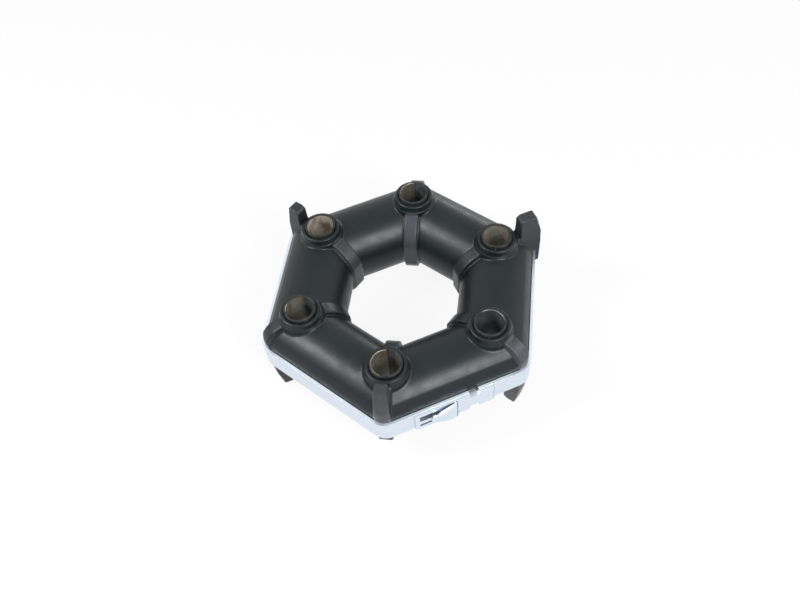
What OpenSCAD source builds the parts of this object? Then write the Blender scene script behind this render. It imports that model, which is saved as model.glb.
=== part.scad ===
// Rubber flex disc of a propeller shaft: six steel bushes in a hexagonal rubber ring,
// held in compression by a folded steel band. Millimetres, +Z along the shaft.

/* [Bolt circle] */
// Pitch circle of the six bolt holes
pitch_circle_d = 96; // [94:0.5:98]
// Bore of each sleeve, for an M12 bolt
bore_d = 12.2; // [12:0.1:12.6]
// Wall of the rolled steel sleeve
sleeve_wall = 1; // [0.9:0.1:1.3]
// Length of each sleeve, clamped between the two flanges
sleeve_len = 46; // [45:0.5:48]

/* [Rubber ring] */
// Outer size across the flats, under the band
ring_af = 118.4; // [117:0.2:120]
// Size of the centre hole across the flats
hole_af = 51.4; // [50.6:0.2:52.4]
// Diameter of the round section of the ring
section_d = 35.4; // [35:0.2:36.2]
// Diameter of the flatter curve that faces the band
rim_d = 44; // [42:1:48]
// Depth to which the band presses that curve flat
rim_press = 0.6; // [0.5:0.1:0.8]
// Radius of the ring's six outer corners
corner_round = 7; // [5:0.5:8]

/* [Bosses] */
// Diameter of the rubber boss at its rim
boss_d = 17.8; // [17.4:0.1:18.6]
// Diameter of the boss where it leaves the ring
boss_foot_d = 19.2; // [19:0.1:19.6]
// Diameter of the narrow ledge round the foot
ledge_d = 20.2; // [20:0.1:21]
// Height of the ledge over the mid-plane
ledge_z = 18.5; // [18.3:0.1:18.9]
// Length of bare sleeve over the rubber
sleeve_proud = 1.4; // [0.8:0.1:2]

/* [Ribs and lugs] */
// Width of the ribs beside each boss
rib_w = 6.2; // [5.4:0.2:6.6]
// Radius from the shaft axis to the end of the inner ribs
rib_in_r = 27; // [26.4:0.1:27.2]
// Rise of the inner ribs over the ring
rib_rise = 0.7; // [0.6:0.1:0.9]
// Shift of the inner ribs' round outline towards the rim
rib_shift = 0.9; // [0.8:0.1:1.1]
// Radius of the outer ribs' rounded ends
rib_round = 12.2; // [12:0.1:12.6]
// Depth by which the band's corner cuts the outer ribs' ends
rib_reach = 0.5; // [0.4:0.1:0.8]
// Height of the lug tips over the mid-plane
lug_z = 27; // [26:0.5:30]
// Width of the lugs at the tip, along the rim
lug_tip_w = 5.4; // [4.6:0.2:6]
// Width of the lugs at the foot, along the rim
lug_foot_w = 7.6; // [7:0.2:9]
// Length of the lug tips along the radius
lug_tip_len = 5.8; // [5:0.2:6.4]
// Distance from a bush axis to the lug's inner face at its foot
lug_in = 9; // [8.6:0.2:9.8]
// Lean of a lug's outer face towards the shaft axis
lug_lean = 2.4; // [1.6:0.2:3]
// Height over the mid-plane at which that lean starts
lug_knee_z = 12; // [11:1:15]
// Bevel along the inner edge of the lug tips
lug_bevel = 1.4; // [1:0.2:1.8]

/* [Bent lug] */
// Reach of the second corner's lug past the outside of the band
flap_out = 1.4; // [1:0.1:1.8]
// Height of the bent lug's tip over the other tips
flap_rise = 1.8; // [1:0.2:2.4]
// Distance from the mid-plane down to the flap's lower edge
flap_drop = 2; // [1:0.5:4]
// Distance from the mid-plane down to the end of the rubber toe under the flap
toe_drop = 11; // [9:0.5:12]
// Width of the toe along the rim
toe_w = 4.6; // [4:0.2:5.2]

/* [Steel cores] */
// Outer diameter of a core's hub, vulcanised into the boss
hub_d = 17; // [16.8:0.1:17.2]
// Length of the hub
hub_len = 32; // [28:1:34]
// Thickness of the core's radial fin
fin_t = 3.2; // [2.6:0.2:3.6]
// Rubber skin over the edge of the fin
fin_cover = 1.6; // [1.2:0.1:2]
// Distance from the rounded corner of the ring to the end of the fin
fin_short = 3.6; // [3:0.2:4.4]
// Height of the fin outside the bush
fin_h = 21; // [18:1:24]

/* [Band] */
// Width of the steel strip
band_w = 12; // [11:0.5:13]
// Thickness of the steel strip
band_t = 1.2; // [1:0.1:1.4]
// Length of the double layer at the joint
lap_len = 37; // [35:0.5:39]
// Depth by which each edge of the second layer stands back
lap_trim = 0.1; // [0.1:0.05:0.3]
// Distance from the end of the lap to the nose of the tongue
tongue_at = 7; // [6:0.5:8]
// Length of the tongue folded back over the lap
tongue_len = 12.2; // [11:0.2:13]
// Width of the tongue at its cut end
tongue_w = 10.8; // [10:0.2:11.4]
// Width of the tongue at its rounded nose
nose_w = 5; // [4.4:0.2:5.6]
// Diameter of the fold at the nose
fold_d = 2; // [1.8:0.1:2.2]
// Height of the tongue's arch over the double layer
arch_h = 2; // [1.8:0.1:2.2]
// Radius of the arch
arch_r = 25; // [22:1:28]
// Distance from the end of the lap to the two slots
slot_at = 2; // [1.5:0.5:2.5]
// Length of the slots, which run on under the tongue
slot_len = 9; // [8:0.5:10]
// Upper edge of the upper slot, over the mid-plane
slot_top = 4.2; // [3.8:0.1:4.6]
// Lower edge of the lower slot, under the mid-plane
slot_bottom = 3.8; // [3.4:0.1:4.2]
// Width of the bar left between the slots
bar_w = 2.4; // [2:0.2:3]
// Height of the bar's middle under the mid-plane
bar_drop = 1; // [0.6:0.2:1.4]
// Distance from the middle of the lap to its two notches
notch_at = 7; // [6:0.5:8]
// Length of the notches
notch_len = 4.5; // [4:0.5:5]
// Depth of the notches in the edges of the lap
notch_depth = 2.2; // [1.6:0.2:2.6]

/* [Hidden] */
$fn = 48;

pitch_r = pitch_circle_d / 2;
sleeve_d = bore_d + 2 * sleeve_wall;
ring_out = ring_af / 2;
section_r = section_d / 2;
section_x = hole_af / 2 + section_r;
rim_r = rim_d / 2;
rim_x = ring_out + rim_press - rim_r;
boss_z = sleeve_len / 2 - sleeve_proud;
band_z = band_w / 2;
// Radius from the shaft axis to the rounded corners, as a share of the rounding
corner_cut = 1 / cos(30) - 1;
corner_r = ring_out / cos(30) - corner_round * corner_cut;
// Centre and radius of the round outline of the inner ribs
rib_r = section_r + rib_rise;
rib_x = section_x + rib_shift;
// Distance from the shaft axis to the centre of the round outline of the outer ribs
rib_out_x = corner_r - rib_round + rib_reach;
// Corner whose lug is bent out over the band
bent_corner = 2;
// Centre of the lap along its side of the band, off the middle of the side
lap_y = -1.6;
lap_start = lap_y - lap_len / 2;
// Depth that joins the layers of the one folded strip
sunk = band_t / 3;
// Extra length that carries a cutter past the surface it cuts
past = 1;
big = 200;

// Corners are numbered clockwise from the one on +Y
function corner_angle(k) = 90 - 60 * (k - 1);

// Hexagon with rounded corners, the first flat on +X; six short flats turn each corner
function rounded_hexagon(across, radius) = [
    for (k = [0:5], i = [0:6])
        let (centre = (across / 2 - radius) / cos(30), turn = 30 + 60 * k)
        [centre * cos(turn) + radius * cos(turn - 30 + 10 * i),
            centre * sin(turn) + radius * sin(turn - 30 + 10 * i)]
];

module at_corner(k) rotate([0, 0, corner_angle(k)]) children();

module at_bush(k) at_corner(k) translate([pitch_r, 0, 0]) children();

// Room inside the band, over the full height
module rim_prism() linear_extrude(height = big, center = true)
    polygon(rounded_hexagon(ring_af, corner_round));

module both_faces() for (s = [0, 1]) mirror([0, 0, s]) children();

// Plate in the plane of the radius, its outline drawn over distance and height
module radial_plate(width) rotate([90, 0, 0]) linear_extrude(height = width, center = true) children();

// Bar along the radius, its outline drawn over width and height
module tangent_plate() rotate([90, 0, 90]) linear_extrude(height = big) children();

// One side of the ring; it stops short of the corner plates it runs into
module ring_side() {
    intersection() {
        translate([section_x, 0, 0]) rotate([90, 0, 0]) cylinder(r = section_r, h = big, center = true);
        translate([rim_x, 0, 0]) rotate([90, 0, 0]) cylinder(r = rim_r, h = big, center = true);
        linear_extrude(height = big, center = true) translate([rib_w / 2, 0])
            polygon([[0, 0], [big * cos(30), -big / 2], [big * cos(30), big / 2]]);
    }
}

module boss() {
    both_faces() {
        translate([0, 0, ledge_z]) cylinder(d1 = boss_foot_d, d2 = boss_d, h = boss_z - ledge_z);
        cylinder(d = ledge_d, h = ledge_z);
    }
}

// Outline of an inner rib, or of the fin that lies the given depth under its surface
module inner_outline(depth) {
    intersection() {
        translate([rib_x, 0]) circle(r = rib_r - depth);
        translate([rib_in_r + depth, -rib_r]) square([2 * rib_r, 2 * rib_r]);
    }
}

// Plate through a corner of the ring, its inner and outer ends standing proud as ribs
module corner_plate() {
    radial_plate(rib_w) {
        inner_outline(0);
        for (side = [-1, 1]) translate([rib_out_x, side * band_z]) circle(r = rib_round);
        translate([rib_out_x, -band_z]) square([big, band_w]);
    }
}

module ring() {
    intersection() {
        union() {
            for (k = [0:5]) rotate([0, 0, 60 * k]) ring_side();
            for (k = [1:6]) at_corner(k) {
                corner_plate();
                if (k != bent_corner) mirror([0, 0, k % 2]) lug();
            }
        }
        rim_prism();
    }
}

// Lug over a corner plate; the rounded corner of the ring trims its outer face
module lug() {
    foot_in = pitch_r + lug_in;
    foot_out = corner_r + past;
    tip_out = corner_r - lug_lean;
    tip_in = tip_out - lug_tip_len;
    intersection() {
        radial_plate(lug_foot_w + past) polygon([[foot_in, band_z], [foot_in, ledge_z],
            [tip_in, ledge_z], [tip_in, lug_z - lug_bevel], [tip_in + lug_bevel, lug_z],
            [tip_out, lug_z], [corner_r, lug_knee_z], [foot_out, lug_knee_z - past], [foot_out, band_z]]);
        tangent_plate() polygon([[-lug_foot_w / 2, band_z], [lug_foot_w / 2, band_z],
            [lug_tip_w / 2, lug_z], [-lug_tip_w / 2, lug_z]]);
    }
}

// Lug bent out over the band; its flap and toe hang down outside the band
module bent_lug() {
    top = lug_z + flap_rise;
    tip_in = corner_r - lug_lean - lug_tip_len;
    out = corner_r + band_t + flap_out;
    toe_out = out - flap_out / 2;
    toe_in = corner_r - band_t;
    difference() {
        intersection() {
            radial_plate(lug_foot_w + past) polygon([[tip_in, -band_z], [tip_in, top - lug_bevel],
                [tip_in + lug_bevel, top], [out - 2 * lug_bevel, top], [out, ledge_z], [out, -flap_drop],
                [toe_out, -flap_drop], [toe_out, -toe_drop + flap_out], [corner_r, -toe_drop],
                [toe_in, -toe_drop], [toe_in, -band_z]]);
            tangent_plate() polygon([[-toe_w / 2, -toe_drop], [toe_w / 2, -toe_drop],
                [toe_w / 2, -flap_drop], [lug_foot_w / 2, -flap_drop], [lug_foot_w / 2, band_z],
                [lug_tip_w / 2, top], [-lug_tip_w / 2, top], [-lug_foot_w / 2, band_z],
                [-lug_foot_w / 2, -flap_drop], [-toe_w / 2, -flap_drop]]);
        }
        rotate([0, 0, -corner_angle(bent_corner)]) linear_extrude(height = band_w, center = true)
            polygon(rounded_hexagon(ring_af + 2 * band_t, corner_round + band_t));
    }
}

module core() {
    cylinder(d = hub_d, h = hub_len, center = true);
    translate([-pitch_r, 0, 0]) {
        radial_plate(fin_t) inner_outline(fin_cover);
        radial_plate(fin_t) translate([rib_x, -fin_h / 2]) square([corner_r - fin_short - rib_x, fin_h]);
    }
}

module rubber_body() {
    color("#1b1e20") difference() {
        union() {
            ring();
            for (k = [1:6]) at_bush(k) boss();
            at_corner(bent_corner) bent_lug();
        }
        for (k = [1:6]) at_bush(k) {
            cylinder(d = sleeve_d, h = big, center = true);
            core();
        }
    }
}

module sleeve(k) {
    color("#8f8a70") at_bush(k) difference() {
        cylinder(d = sleeve_d, h = sleeve_len, center = true);
        cylinder(d = bore_d, h = big, center = true);
    }
}

module insert(k) {
    color("#6c7076") at_bush(k) difference() {
        core();
        cylinder(d = sleeve_d, h = big, center = true);
    }
}

// The plain strip, bent round the ring
module strip() linear_extrude(height = band_w, center = true) difference() {
    polygon(rounded_hexagon(ring_af + 2 * band_t, corner_round + band_t));
    polygon(rounded_hexagon(ring_af, corner_round));
}

// Second layer of the strip, drawn on the side whose flat faces +X
module lap() translate([ring_out + band_t - sunk, lap_start, lap_trim - band_z])
    cube([band_t + sunk, lap_len, band_w - 2 * lap_trim]);

// Slots and notches that go through both layers
module joint_cuts() {
    cut = 2 * (band_t + past);
    bar_top = bar_w / 2 - bar_drop;
    bar_low = -bar_w / 2 - bar_drop;
    translate([ring_out - past, lap_start + slot_at, bar_top]) cube([cut, slot_len, slot_top - bar_top]);
    translate([ring_out - past, lap_start + slot_at, -slot_bottom])
        cube([cut, slot_len, bar_low + slot_bottom]);
    both_faces() translate([ring_out - past, lap_y + notch_at, band_z - notch_depth])
        cube([cut, notch_len, notch_depth + past]);
}

// The tongue seen along the shaft: the fold that forms its nose, then an arched plate
module tongue_profile() {
    translate([fold_d / 2 - sunk, fold_d / 2]) circle(d = fold_d);
    intersection() {
        translate([arch_h - arch_r, tongue_len / 2]) difference() {
            circle(r = arch_r);
            circle(r = arch_r - band_t);
        }
        translate([0, fold_d / 2]) square([2 * arch_h, tongue_len - fold_d / 2]);
    }
}

// The tongue seen from outside: it widens from its nose to the cut end
module tongue_outline() {
    taper_r = (tongue_len * tongue_len + tongue_w * tongue_w / 4) / tongue_w;
    translate([nose_w / 2 - sunk, 0]) circle(d = nose_w);
    intersection() {
        translate([tongue_len, tongue_w / 2 - taper_r]) circle(r = taper_r);
        translate([tongue_len, taper_r - tongue_w / 2]) circle(r = taper_r);
        translate([0, -tongue_w]) square([tongue_len, 2 * tongue_w]);
    }
}

module tongue() translate([ring_out + 2 * band_t, lap_start + tongue_at, 0]) intersection() {
    linear_extrude(height = band_w, center = true) tongue_profile();
    translate([-past, 0, 0]) tangent_plate() tongue_outline();
}

module retaining_band() {
    color("#dfe6ee") {
        difference() {
            strip();
            rotate([0, 0, -60]) joint_cuts();
        }
        rotate([0, 0, -60]) {
            difference() {
                lap();
                joint_cuts();
            }
            tongue();
        }
    }
}

rubber_body();
retaining_band();
sleeve(1);  // sleeve_1
sleeve(2);  // sleeve_2
sleeve(3);  // sleeve_3
sleeve(4);  // sleeve_4
sleeve(5);  // sleeve_5
sleeve(6);  // sleeve_6
insert(1);  // insert_1
insert(2);  // insert_2
insert(3);  // insert_3
insert(4);  // insert_4
insert(5);  // insert_5
insert(6);  // insert_6
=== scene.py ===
"""Driveshaft flex disc: a rubber ring with six steel sleeves and a folded steel band, on white."""
import math

import bmesh
import bpy
import numpy as np
from mathutils import Matrix, Vector


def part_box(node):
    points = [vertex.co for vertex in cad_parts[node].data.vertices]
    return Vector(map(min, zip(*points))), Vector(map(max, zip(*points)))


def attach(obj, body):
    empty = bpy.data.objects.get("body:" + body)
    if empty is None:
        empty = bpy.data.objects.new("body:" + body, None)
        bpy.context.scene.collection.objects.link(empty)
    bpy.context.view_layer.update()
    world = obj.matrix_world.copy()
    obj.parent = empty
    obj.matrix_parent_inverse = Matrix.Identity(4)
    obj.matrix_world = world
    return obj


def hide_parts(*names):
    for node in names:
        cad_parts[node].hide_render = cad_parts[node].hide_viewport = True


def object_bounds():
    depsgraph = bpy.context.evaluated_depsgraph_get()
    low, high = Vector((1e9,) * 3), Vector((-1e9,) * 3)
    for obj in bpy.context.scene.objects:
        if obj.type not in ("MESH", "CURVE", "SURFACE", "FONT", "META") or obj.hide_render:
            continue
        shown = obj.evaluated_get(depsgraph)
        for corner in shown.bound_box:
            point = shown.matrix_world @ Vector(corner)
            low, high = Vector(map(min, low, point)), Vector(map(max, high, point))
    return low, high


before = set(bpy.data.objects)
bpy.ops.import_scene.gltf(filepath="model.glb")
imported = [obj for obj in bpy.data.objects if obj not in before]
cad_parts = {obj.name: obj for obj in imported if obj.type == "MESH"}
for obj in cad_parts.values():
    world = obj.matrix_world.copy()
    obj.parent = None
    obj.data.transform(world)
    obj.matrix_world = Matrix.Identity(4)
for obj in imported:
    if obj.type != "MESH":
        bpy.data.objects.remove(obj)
cad_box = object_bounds()

# Sizes, in metres; the same ones as in the part's source
MM = 0.001
CORNERS = 6
PITCH_R = 48 * MM
BORE_R = 6.1 * MM
SLEEVE_R = 7.1 * MM
WALL_MIDDLE_R = (SLEEVE_R + BORE_R) / 2

# Points that lie closer together than this are one point
WELD = 0.001 * MM


def link(name, mesh, slot, *replaced):
    """Puts a finished mesh into the scene as a piece of the part."""
    piece = bpy.data.objects.new(name, mesh)
    bpy.context.scene.collection.objects.link(piece)
    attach(piece, "root")
    if replaced:
        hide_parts(*replaced)
    return piece


def shade_smooth(mesh):
    mesh.polygons.foreach_set("use_smooth", [True] * len(mesh.polygons))


def welded(mesh):
    """Copy of a mesh for editing, its double points joined."""
    bm = bmesh.new()
    bm.from_mesh(mesh)
    bmesh.ops.remove_doubles(bm, verts=bm.verts, dist=WELD)
    return bm


def finished(bm, name):
    """The edited copy as a mesh with the given name."""
    mesh = bpy.data.meshes.new(name)
    bm.to_mesh(mesh)
    bm.free()
    return mesh


def apply_modifiers(piece):
    """Puts the piece's modified mesh in place of its own."""
    graph = bpy.context.evaluated_depsgraph_get()
    done = bpy.data.meshes.new_from_object(piece.evaluated_get(graph))
    old = piece.data
    piece.modifiers.clear()
    piece.data = done
    bpy.data.meshes.remove(old)


def keep_shares(mesh, name, values):
    """Keeps one number for each point of a mesh, where a material can read it."""
    mesh.attributes.new(name, "FLOAT", "POINT").data.foreach_set("value", values)


def corner_angle(k):
    """Direction of corner k; they run clockwise from the one on +Y."""
    return math.radians(90 - 60 * (k - 1))


def view_direction(azimuth, elevation):
    """From the part towards a place that is seen at these angles, in degrees; azimuth 0 is -Y."""
    a = math.radians(azimuth)
    e = math.radians(elevation)
    return Vector((math.sin(a) * math.cos(e), -math.cos(a) * math.cos(e), math.sin(e)))


# Camera

# Distance in metres, angles in degrees, lens in millimetres; fitted to the six sleeves in the photograph
CAMERA_DISTANCE = 0.36368
CAMERA_AZIMUTH = 12.05
CAMERA_ELEVATION = 54.45
CAMERA_ROLL = 5.84
CAMERA_LENS = 34.59
CAMERA_SHIFT = (-0.00444, 0.00059)
CAMERA_CLIP = 0.01


def make_camera():
    azimuth = math.radians(CAMERA_AZIMUTH)
    roll = math.radians(CAMERA_ROLL)
    back = view_direction(CAMERA_AZIMUTH, CAMERA_ELEVATION)
    right = Vector((math.cos(azimuth), math.sin(azimuth), 0))
    up = back.cross(right)
    side = right * math.cos(roll) - up * math.sin(roll)
    top = right * math.sin(roll) + up * math.cos(roll)
    data = bpy.data.cameras.new("camera")
    data.lens = CAMERA_LENS
    data.shift_x, data.shift_y = CAMERA_SHIFT
    data.clip_start = CAMERA_CLIP
    camera = bpy.data.objects.new("camera", data)
    camera.matrix_world = Matrix((
        (side.x, top.x, back.x, back.x * CAMERA_DISTANCE),
        (side.y, top.y, back.y, back.y * CAMERA_DISTANCE),
        (side.z, top.z, back.z, back.z * CAMERA_DISTANCE),
        (0, 0, 0, 1)))
    bpy.context.scene.collection.objects.link(camera)
    bpy.context.scene.camera = camera


# Floor and light

# Height of the floor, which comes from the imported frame, and half its width in metres
FLOOR_Z = cad_box[0].z
FLOOR_HALF = 3.0

# Colour of the floor, and the share of what is seen of it that is its own white
FLOOR_COLOUR = (0.9, 0.9, 0.9, 1)
FLOOR_GLOW = 0.9

# Faint light from all round, a little cooler than the lamps
SOFT_COLOUR = (0.94, 0.97, 1, 1)
SOFT_STRENGTH = 0.1

# Lamps: name, azimuth and elevation in degrees, width and height in metres, power in watts
LAMP_COLOUR = (1, 0.94, 0.96)
LAMP_DISTANCE = 0.9
LAMPS = (
    ("left", -76, 44, 0.24, 0.34, 6.2),
    ("right", 44, 41, 0.24, 0.4, 6.8),
    ("side", 95, 25, 0.3, 0.3, 1.5),
    ("back", 165, 12, 0.3, 0.12, 1.2),
)


def add_softbox(name, azimuth, elevation, width, height, power):
    """Rectangular lamp that looks at the part from the given direction."""
    back = view_direction(azimuth, elevation)
    data = bpy.data.lights.new(name, "AREA")
    data.shape = "RECTANGLE"
    data.size = width
    data.size_y = height
    data.energy = power
    data.color = LAMP_COLOUR
    lamp = bpy.data.objects.new(name, data)
    lamp.location = back * LAMP_DISTANCE
    lamp.rotation_mode = "QUATERNION"
    lamp.rotation_quaternion = back.to_track_quat("Z", "Y")
    bpy.context.scene.collection.objects.link(lamp)


def seen_directly(nodes, links):
    """One for rays from the camera and for mirror and glass rays, none for soft light."""
    path = nodes.new("ShaderNodeLightPath")
    first = nodes.new("ShaderNodeMath")
    first.operation = "MAXIMUM"
    links.new(path.outputs["Is Camera Ray"], first.inputs[0])
    links.new(path.outputs["Is Glossy Ray"], first.inputs[1])
    second = nodes.new("ShaderNodeMath")
    second.operation = "MAXIMUM"
    links.new(first.outputs[0], second.inputs[0])
    links.new(path.outputs["Is Transmission Ray"], second.inputs[1])
    return second.outputs[0]


def blend(nodes, links, share, first, second):
    """Mix of two shaders; the share is that of the second."""
    mix = nodes.new("ShaderNodeMixShader")
    links.new(share, mix.inputs["Fac"])
    links.new(first.outputs[0], mix.inputs[1])
    links.new(second.outputs[0], mix.inputs[2])
    return mix.outputs[0]


def make_world():
    world = bpy.data.worlds.new("studio")
    world.use_nodes = True
    nodes = world.node_tree.nodes
    links = world.node_tree.links
    nodes.clear()
    soft = nodes.new("ShaderNodeBackground")
    soft.inputs["Color"].default_value = SOFT_COLOUR
    soft.inputs["Strength"].default_value = SOFT_STRENGTH
    white = nodes.new("ShaderNodeBackground")
    white.inputs["Color"].default_value = (1, 1, 1, 1)
    white.inputs["Strength"].default_value = 1
    out = nodes.new("ShaderNodeOutputWorld")
    links.new(blend(nodes, links, seen_directly(nodes, links), soft, white), out.inputs["Surface"])
    bpy.context.scene.world = world


def floor_finish():
    """White that keeps a faint shadow; what is seen of it is mostly its own white."""
    material = bpy.data.materials.new("floor_white")
    material.use_nodes = True
    nodes = material.node_tree.nodes
    links = material.node_tree.links
    nodes.clear()
    paper = nodes.new("ShaderNodeBsdfDiffuse")
    paper.inputs["Color"].default_value = FLOOR_COLOUR
    glow = nodes.new("ShaderNodeEmission")
    glow.inputs["Strength"].default_value = 1
    share = nodes.new("ShaderNodeMath")
    share.operation = "MULTIPLY"
    share.inputs[1].default_value = FLOOR_GLOW
    links.new(seen_directly(nodes, links), share.inputs[0])
    out = nodes.new("ShaderNodeOutputMaterial")
    links.new(blend(nodes, links, share.outputs[0], paper, glow), out.inputs["Surface"])
    return material


def make_floor():
    mesh = bpy.data.meshes.new("floor")
    half = FLOOR_HALF
    square = [(-half, -half, 0), (half, -half, 0), (half, half, 0), (-half, half, 0)]
    mesh.from_pydata(square, [], [(0, 1, 2, 3)])
    floor = bpy.data.objects.new("floor", mesh)
    floor.location.z = FLOOR_Z
    bpy.context.scene.collection.objects.link(floor)
    mesh.materials.append(floor_finish())


# Materials

# Shares kept on the points of a mesh: how much lighter a rib or lug is, how much painted shade lies in a
# bore, and how dull
RAISED = "raised"
BORE_SHADE = "bore_shade"
DULL = "dull"

# Sockets of a Mix node that are in use when it mixes colours
MIX_SHARE = 0
MIX_FIRST = 6
MIX_SECOND = 7
MIX_RESULT = 2


class Finish:
    """A material on one Principled shader, with short calls for the nodes that vary it."""

    def __init__(self, name):
        self.material = bpy.data.materials.new(name)
        self.material.use_nodes = True
        self.nodes = self.material.node_tree.nodes
        self.links = self.material.node_tree.links
        self.shader = self.nodes["Principled BSDF"]
        self.place = self.nodes.new("ShaderNodeTexCoord").outputs["Object"]

    def set(self, socket, value):
        self.shader.inputs[socket].default_value = value

    def drive(self, socket, value):
        self.links.new(value, self.shader.inputs[socket])

    def stretched(self, scale):
        mapping = self.nodes.new("ShaderNodeMapping")
        mapping.inputs["Scale"].default_value = scale
        self.links.new(self.place, mapping.inputs["Vector"])
        return mapping.outputs[0]

    def noise(self, scale, detail, roughness, stretch=None):
        node = self.nodes.new("ShaderNodeTexNoise")
        node.inputs["Scale"].default_value = scale
        node.inputs["Detail"].default_value = detail
        node.inputs["Roughness"].default_value = roughness
        self.links.new(self.stretched(stretch) if stretch else self.place, node.inputs["Vector"])
        return node.outputs["Fac"]

    def ramp(self, value, stops):
        """Colours along a value: each stop is a position and a colour."""
        node = self.nodes.new("ShaderNodeValToRGB")
        elements = node.color_ramp.elements
        while len(elements) < len(stops):
            elements.new(0.5)
        for element, (position, colour) in zip(elements, stops):
            element.position = position
            element.color = (*colour, 1)
        self.links.new(value, node.inputs["Fac"])
        return node.outputs["Color"]

    def attribute(self, name):
        """A number kept on the mesh."""
        node = self.nodes.new("ShaderNodeAttribute")
        node.attribute_name = name
        return node.outputs["Fac"]

    def mix(self, share, first, second):
        """Blend of two colours; the share is that of the second."""
        node = self.nodes.new("ShaderNodeMix")
        node.data_type = "RGBA"
        self.links.new(share, node.inputs[MIX_SHARE])
        self.links.new(first, node.inputs[MIX_FIRST])
        self.links.new(second, node.inputs[MIX_SECOND])
        return node.outputs[MIX_RESULT]

    def maths(self, kind, first, second=None):
        """Result of one sum; the first value is a socket, and the second a socket or a number."""
        node = self.nodes.new("ShaderNodeMath")
        node.operation = kind
        self.links.new(first, node.inputs[0])
        if isinstance(second, float):
            node.inputs[1].default_value = second
        elif second is not None:
            self.links.new(second, node.inputs[1])
        return node.outputs[0]

    def range(self, value, low, high, to_low, to_high):
        node = self.nodes.new("ShaderNodeMapRange")
        limits = {"From Min": low, "From Max": high, "To Min": to_low, "To Max": to_high}
        for socket, number in limits.items():
            node.inputs[socket].default_value = number
        self.links.new(value, node.inputs["Value"])
        return node.outputs["Result"]

    def bump(self, height, distance, strength, under=None):
        node = self.nodes.new("ShaderNodeBump")
        node.inputs["Strength"].default_value = strength
        node.inputs["Distance"].default_value = distance
        self.links.new(height, node.inputs["Height"])
        if under:
            self.links.new(under, node.inputs["Normal"])
        return node.outputs["Normal"]


# Rubber as moulded, and the lighter tone on the ribs and lugs. Both are written dark, because the white
# surroundings that the satin surface mirrors lie over them
MOULDED = ((0.3, (0.0035, 0.006, 0.0068)), (0.72, (0.007, 0.0102, 0.0114)))
RIB_LIGHTER_TONE = ((0.3, (0.038, 0.042, 0.048)), (0.72, (0.068, 0.074, 0.082)))


def rubber_finish():
    """Moulded rubber: charcoal, satin, with fine grain and a lighter tone on the ribs."""
    f = Finish("rubber")
    cloud = f.noise(45, 5, 0.6)
    grain = f.noise(1400, 3, 0.6)
    f.drive("Base Color", f.mix(f.attribute(RAISED), f.ramp(cloud, MOULDED), f.ramp(cloud, RIB_LIGHTER_TONE)))
    f.drive("Roughness", f.range(f.noise(160, 4, 0.6), 0.3, 0.7, 0.33, 0.43))
    f.set("Specular IOR Level", 0.34)
    f.set("Specular Tint", (0.9, 0.98, 1, 1))
    fine = f.bump(grain, 0.04 * MM, 0.5)
    f.drive("Normal", f.bump(cloud, 0.6 * MM, 0.25, fine))
    return f.material


# Joint of the band: the direction that its side faces, and how far out its metal starts
JOINT_ANGLE = math.radians(-60)
JOINT_OUT = 58 * MM

# Painted shadow at the steps of the joint, as thin dark lines: place along the side, reach up and down,
# and strength
STEP_LINES = ((-1.0 * MM, 5.6 * MM, 0.9), (16.9 * MM, 5.6 * MM, 0.45))
LINE_WIDTH = 0.5 * MM

PLATED = (
    (0.3, (0.63, 0.73, 0.83)),
    (0.44, (0.73, 0.81, 0.88)),
    (0.56, (0.69, 0.75, 0.85)),
    (0.7, (0.75, 0.84, 0.89)),
)
# Dark colour of the painted shadow lines at the steps of the joint
STEP_SHADOW = ((0.3, (0.1, 0.12, 0.15)), (0.7, (0.2, 0.22, 0.26)))


def foot_of_steps(f):
    """Strength of the thin painted shadow lines where the tongue and the lap of the band end, none
    elsewhere.
    """
    turned = f.nodes.new("ShaderNodeMapping")
    turned.inputs["Rotation"].default_value = (0, 0, -JOINT_ANGLE)
    f.links.new(f.place, turned.inputs["Vector"])
    parts = f.nodes.new("ShaderNodeSeparateXYZ")
    f.links.new(turned.outputs[0], parts.inputs[0])
    height = f.maths("ABSOLUTE", parts.outputs["Z"])
    total = None
    for end, reach, weight in STEP_LINES:
        away = f.maths("ABSOLUTE", f.maths("SUBTRACT", parts.outputs["Y"], end))
        line = f.range(away, 0.5 * LINE_WIDTH, LINE_WIDTH, weight, 0)
        here = f.maths("MULTIPLY", line, f.maths("LESS_THAN", height, reach))
        total = f.maths("ADD", total, here) if total else here
    outside = f.maths("GREATER_THAN", parts.outputs["X"], JOINT_OUT)
    return f.maths("MULTIPLY", total, outside)


def zinc_finish():
    """Bright zinc plating, with the streaks of the rolled strip."""
    f = Finish("zinc_band")
    f.set("Metallic", 1.0)
    streak = f.noise(60, 6, 0.7, (1, 1, 14))
    cloud = f.noise(80, 5, 0.6, (1, 1, 3))
    # The steps of the joint get thin dark lines of painted shadow
    f.drive("Base Color", f.mix(foot_of_steps(f), f.ramp(cloud, PLATED), f.ramp(streak, STEP_SHADOW)))
    f.drive("Roughness", f.range(streak, 0.3, 0.7, 0.32, 0.5))
    f.drive("Normal", f.bump(streak, 0.05 * MM, 0.4))
    return f.material


# Bores of the sleeves: clean, dulled and rusty, and the painted shade on one side of them; and the film on
# their ends and outsides
CLEAN = ((0.28, (0.58, 0.56, 0.46)), (0.55, (0.76, 0.74, 0.65)), (0.75, (0.86, 0.85, 0.77)))
DULLED = ((0.28, (0.14, 0.135, 0.105)), (0.75, (0.26, 0.26, 0.22)))
RUST = ((0.3, (0.19, 0.14, 0.085)), (0.7, (0.32, 0.25, 0.175)))
BORE_SHADE_TONE = ((0.3, (0.1, 0.115, 0.12)), (0.7, (0.21, 0.235, 0.24)))
FILM = ((0.35, (0.006, 0.009, 0.01)), (0.7, (0.035, 0.037, 0.033)))


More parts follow.
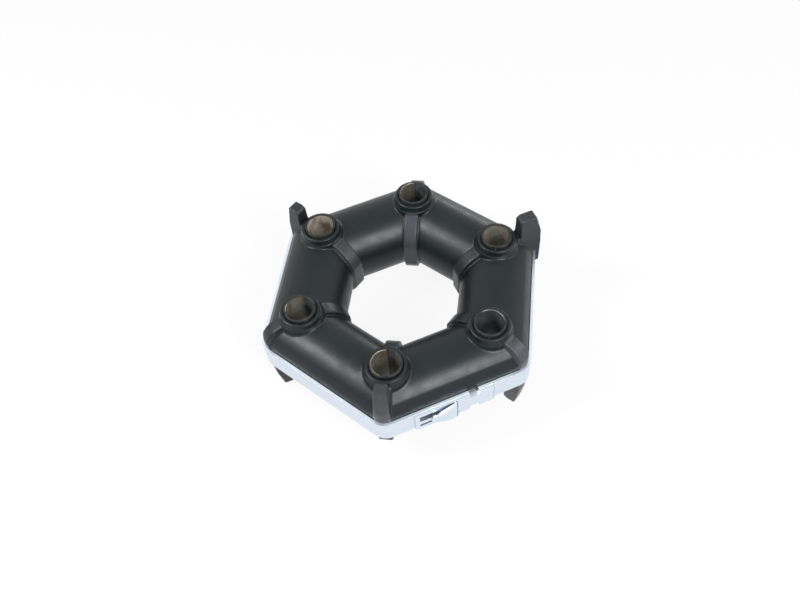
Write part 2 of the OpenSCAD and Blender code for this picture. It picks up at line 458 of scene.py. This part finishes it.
def sleeve_finish():
    """Steel tube with an olive passivated coat, dulled or rusty in places, with painted shade on part of
    the bore.
    """
    f = Finish("sleeve_steel")
    f.set("Metallic", 0.75)
    cloud = f.noise(320, 5, 0.65)
    draw = f.noise(500, 4, 0.6, (1, 1, 0.06))
    patches = f.range(f.noise(150, 3, 0.5, (1, 1, 0.5)), 0.52, 0.66, 0, 0.7)
    bare = f.mix(f.attribute(DULL), f.ramp(cloud, CLEAN), f.ramp(cloud, DULLED))
    coat = f.mix(patches, bare, f.ramp(cloud, RUST))
    # Painted shade darkens each bore between the two directions of its state
    f.drive("Base Color", f.mix(f.attribute(BORE_SHADE), coat, f.ramp(cloud, BORE_SHADE_TONE)))
    f.drive("Roughness", f.range(draw, 0.3, 0.7, 0.32, 0.5))
    f.drive("Normal", f.bump(draw, 0.05 * MM, 0.5))
    return f.material


def rim_finish():
    """Ends and outsides of the sleeves, which keep a thin dark film from the mould."""
    f = Finish("sleeve_rim")
    cloud = f.noise(260, 5, 0.65)
    f.drive("Base Color", f.ramp(cloud, FILM))
    f.drive("Roughness", f.range(cloud, 0.3, 0.7, 0.34, 0.5))
    f.set("Specular IOR Level", 0.28)
    f.drive("Normal", f.bump(cloud, 0.05 * MM, 0.4))
    return f.material


CORE_GREY = ((0.3, (0.22, 0.23, 0.25)), (0.7, (0.36, 0.37, 0.39)))


def core_finish():
    """Grey steel of the cores inside the rubber."""
    f = Finish("core_steel")
    f.set("Metallic", 1.0)
    cloud = f.noise(200, 5, 0.6)
    f.drive("Base Color", f.ramp(cloud, CORE_GREY))
    f.drive("Roughness", f.range(cloud, 0.3, 0.7, 0.4, 0.6))
    return f.material


# The rubber ring

VOXEL = 0.42 * MM
SOFTEN_FACTOR = 0.5
SOFTEN_STEPS = 5
RUBBER_TRIANGLES = 190000

# How far the cores are swollen, so that they fill their hollows in the rubber before the remesh
FILLER_SWELL = 0.12 * MM

# Half width of the ribs, and how far from a sleeve's axis its boss ends
RIB_HALF = 3.1 * MM
BOSS_END = 9.4 * MM
RIB_BLEND = 0.5 * MM

# How much lighter the rib of each corner is on its inner and its outer side
RIB_LIGHTENING = ((0.72, 0.35), (0.2, 0.45), (0, 1), (0.3, 0.62), (0.06, 0.06), (0.66, 0.3))


def swollen(mesh, by):
    """Copy of a mesh whose points are pushed out along their normals."""
    bm = welded(mesh)
    bm.normal_update()
    for vert in bm.verts:
        vert.co += vert.normal * by
    return finished(bm, "swollen")


def mark_raised(mesh):
    """Notes on each point how much lighter it is, where it is near a corner's ray and clear of the boss.
    """
    count = len(mesh.vertices)
    points = np.empty(count * 3)
    mesh.vertices.foreach_get("co", points)
    points = points.reshape(count, 3)
    share = np.zeros(count)
    for k, (inner, outer) in enumerate(RIB_LIGHTENING, 1):
        angle = corner_angle(k)
        along = points[:, 0] * math.cos(angle) + points[:, 1] * math.sin(angle)
        across = np.abs(points[:, 1] * math.cos(angle) - points[:, 0] * math.sin(angle))
        narrow = np.clip((RIB_HALF + RIB_BLEND - across) / RIB_BLEND, 0, 1)
        clear = np.clip((np.abs(along - PITCH_R) - BOSS_END) / RIB_BLEND, 0, 1)
        lightening = np.where(along < PITCH_R, inner, outer)
        share = np.maximum(share, narrow * clear * lightening * (along > 0))
    keep_shares(mesh, RAISED, share)


def make_rubber(material):
    """The solid's own form, remeshed fine and softened, so that its edges get moulded radii."""
    bm = welded(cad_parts["rubber_body"].data)
    for k in range(1, CORNERS + 1):
        filler = swollen(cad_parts[f"insert_{k}"].data, FILLER_SWELL)
        bm.from_mesh(filler)
        bpy.data.meshes.remove(filler)
    mesh = finished(bm, "rubber_ring")
    mesh.materials.clear()
    piece = link("rubber_ring", mesh, "rubber", "rubber_body")
    remesh = piece.modifiers.new("remesh", "REMESH")
    remesh.mode = "VOXEL"
    remesh.voxel_size = VOXEL
    remesh.use_smooth_shade = True
    soften = piece.modifiers.new("soften", "SMOOTH")
    soften.factor = SOFTEN_FACTOR
    soften.iterations = SOFTEN_STEPS
    apply_modifiers(piece)
    thin = piece.modifiers.new("thin", "DECIMATE")
    thin.ratio = min(1.0, RUBBER_TRIANGLES / (2 * len(piece.data.polygons)))
    apply_modifiers(piece)
    shade_smooth(piece.data)
    mark_raised(piece.data)
    piece.data.materials.append(material)


# The steel sleeves

SEAM_WIDTH = 0.25 * MM
SLEEVE_STEPS = 96
RIM_ROUND = 0.3 * MM
RIM_STEPS = 3
SPLIT_ANGLE = math.radians(50)

# Corners whose sleeve has its seam on the side that faces +Y; on the others it faces -Y
SEAM_PLUS_Y = (1, 4)

# State of each bore: the two directions, in degrees, between which it is painted in shade, and how dull it
# is
BORE_STATE = (
    (-100, 97, 0.9),
    (-60, 35, 0.55),
    (-200, 200, 1),
    (52, 100, 0.85),
    (-70, 96, 0.6),
    (-60, 10, 0),
)
SHADE_BLEND = 12

# Directions, in degrees, between which the inner edge of each sleeve keeps its bright steel as a painted
# highlight arc, while the rest of the edge takes the dark film; equal ones mean that it has no such arc
HIGHLIGHT_ARCS = ((95, 190), (0, 0), (10, 125), (95, 255), (165, 200), (0, 0))

# How far a face's normal has to point along the tube for the face to be an edge, and a flat end
EDGE_TILT = 0.2
END_TILT = 0.99


def sleeve_outline(low, high):
    """Section of the tube wall over radius and height, its four edges broken."""
    corners = ((SLEEVE_R, high, 0), (BORE_R, high, 90), (BORE_R, low, 180), (SLEEVE_R, low, 270))
    points = []
    for radius, height, start in corners:
        middle_r = radius - math.copysign(RIM_ROUND, radius - WALL_MIDDLE_R)
        middle_z = height - math.copysign(RIM_ROUND, height - (low + high) / 2)
        for step in range(RIM_STEPS + 1):
            angle = math.radians(start + 90 / RIM_STEPS * step)
            points.append((middle_r + RIM_ROUND * math.cos(angle), middle_z + RIM_ROUND * math.sin(angle)))
    return points


def tube_point(centre, angle, radius, height):
    return centre + Vector((radius * math.cos(angle), radius * math.sin(angle), height))


def rolled_tube(centre, seam, outline):
    """The outline led round the centre, from one side of the open seam to the other."""
    gap = SEAM_WIDTH / BORE_R
    bm = bmesh.new()
    rings = []
    for step in range(SLEEVE_STEPS + 1):
        angle = seam + gap / 2 + (2 * math.pi - gap) * step / SLEEVE_STEPS
        rings.append([bm.verts.new(tube_point(centre, angle, r, z)) for r, z in outline])
    count = len(outline)
    for near, far in zip(rings, rings[1:]):
        for i in range(count):
            j = (i + 1) % count
            bm.faces.new((near[i], far[i], far[j], near[j]))
    bm.faces.new(list(reversed(rings[0])))
    bm.faces.new(rings[-1])
    bmesh.ops.recalc_face_normals(bm, faces=bm.faces)
    return bm


def mark_bore(mesh, middle, low, high, dull):
    """Notes on each point of a sleeve how much painted shade it takes and how dull it is."""
    bore_shade = []
    for vert in mesh.vertices:
        arm = vert.co.xy - middle
        angle = math.degrees(math.atan2(arm.y, arm.x))
        inside = min(angle - low, high - angle)
        bore_shade.append(min(max(inside / SHADE_BLEND, 0), 1))
    keep_shares(mesh, BORE_SHADE, bore_shade)
    keep_shares(mesh, DULL, [dull] * len(mesh.vertices))


def film_outside(mesh, middle, low, high):
    """Gives a sleeve's second material to its ends and outside, and to inner edges outside its painted
    highlight arc.
    """
    for face in mesh.polygons:
        arm = face.center.xy - middle
        tilt = abs(face.normal.z)
        outside = arm.length > WALL_MIDDLE_R
        angle = math.degrees(math.atan2(arm.y, arm.x))
        # Inner edges stay bright steel only within the arc of the painted highlight
        in_highlight_arc = (angle - low) % 360 < high - low
        if outside or tilt > END_TILT or (tilt > EDGE_TILT and not in_highlight_arc):
            face.material_index = 1


def make_sleeve(k, material, rim_material):
    """Tube rolled from strip, open at its butt seam."""
    low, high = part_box(f"sleeve_{k}")
    centre = Vector((PITCH_R * math.cos(corner_angle(k)), PITCH_R * math.sin(corner_angle(k)), 0))
    seam = math.radians(90 if k in SEAM_PLUS_Y else -90)
    mesh = finished(rolled_tube(centre, seam, sleeve_outline(low.z, high.z)), f"rolled_sleeve_{k}")
    shade_smooth(mesh)
    mesh.materials.append(material)
    mesh.materials.append(rim_material)
    film_outside(mesh, centre.xy, *HIGHLIGHT_ARCS[k - 1])
    mark_bore(mesh, centre.xy, *BORE_STATE[k - 1])
    piece = link(f"rolled_sleeve_{k}", mesh, "sleeve_steel", f"sleeve_{k}")
    edges = piece.modifiers.new("edges", "EDGE_SPLIT")
    edges.split_angle = SPLIT_ANGLE
    apply_modifiers(piece)


# The steel band

EDGE_ROUND = 0.22 * MM
EDGE_STEPS = 2

# Faces that meet at less than the first angle are one; edges that turn more than the second are rounded
FLAT_ANGLE = math.radians(1)
EDGE_ANGLE = math.radians(35)


def make_band(material):
    """The solid's own strip and joint, with its cut edges rounded."""
    bm = welded(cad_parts["retaining_band"].data)
    bmesh.ops.dissolve_limit(bm, angle_limit=FLAT_ANGLE, verts=bm.verts, edges=bm.edges)
    mesh = finished(bm, "folded_band")
    mesh.materials.clear()
    shade_smooth(mesh)
    mesh.materials.append(material)
    piece = link("folded_band", mesh, "zinc_band", "retaining_band")
    rounding = piece.modifiers.new("rounding", "BEVEL")
    rounding.width = EDGE_ROUND
    rounding.segments = EDGE_STEPS
    rounding.limit_method = "ANGLE"
    rounding.angle_limit = EDGE_ANGLE
    rounding.use_clamp_overlap = True
    normals = piece.modifiers.new("normals", "WEIGHTED_NORMAL")
    normals.keep_sharp = True
    apply_modifiers(piece)


def paint_cores(material):
    """The cores keep the solid's own mesh, since the rubber hides them."""
    for k in range(1, CORNERS + 1):
        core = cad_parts[f"insert_{k}"]
        core.data.materials.clear()
        core.data.materials.append(material)


bpy.context.scene.view_settings.view_transform = "Standard"
make_camera()
make_world()
make_floor()
for lamp in LAMPS:
    add_softbox(*lamp)
make_rubber(rubber_finish())
sleeve_steel = sleeve_finish()
sleeve_rim = rim_finish()
for number in range(1, CORNERS + 1):
    make_sleeve(number, sleeve_steel, sleeve_rim)
make_band(zinc_finish())
paint_cores(core_finish())
